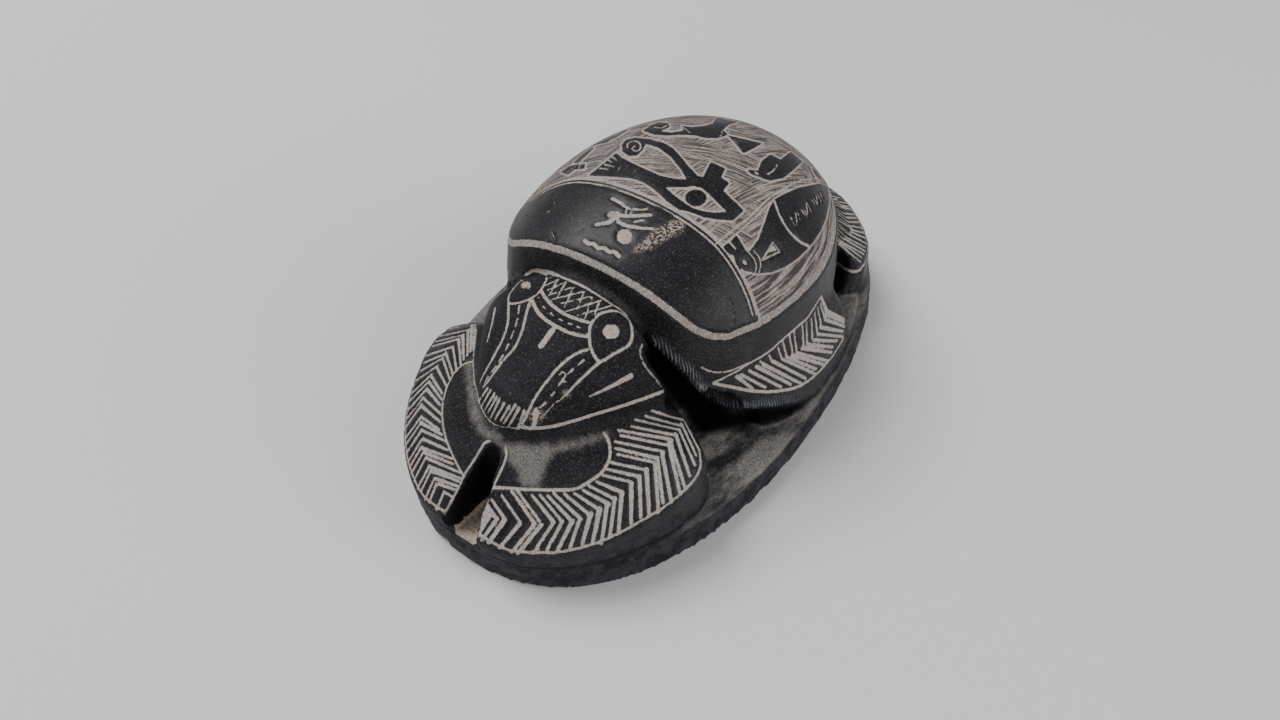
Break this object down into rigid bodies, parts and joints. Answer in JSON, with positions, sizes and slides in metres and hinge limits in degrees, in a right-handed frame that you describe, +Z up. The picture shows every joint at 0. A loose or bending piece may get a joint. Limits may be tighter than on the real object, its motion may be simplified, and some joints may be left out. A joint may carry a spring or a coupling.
{
  "type": "scarab amulet",
  "caption": "Carved dark stone scarab beetle with folded, chevron-cut legs on an oval plate that lies flat.",
  "frame": {"origin": "on the flat underside, under the middle of the oval plate", "axes": "+Z up, -Y towards the beetle's head, +X towards the beetle's left side"},
  "size_m": [0.0544, 0.09, 0.0344],
  "materials": {
    "dark_stone": "satin"
  },
  "bodies": {
    "root": {"scarab": "dark_stone"}
  },
  "joints": []
}
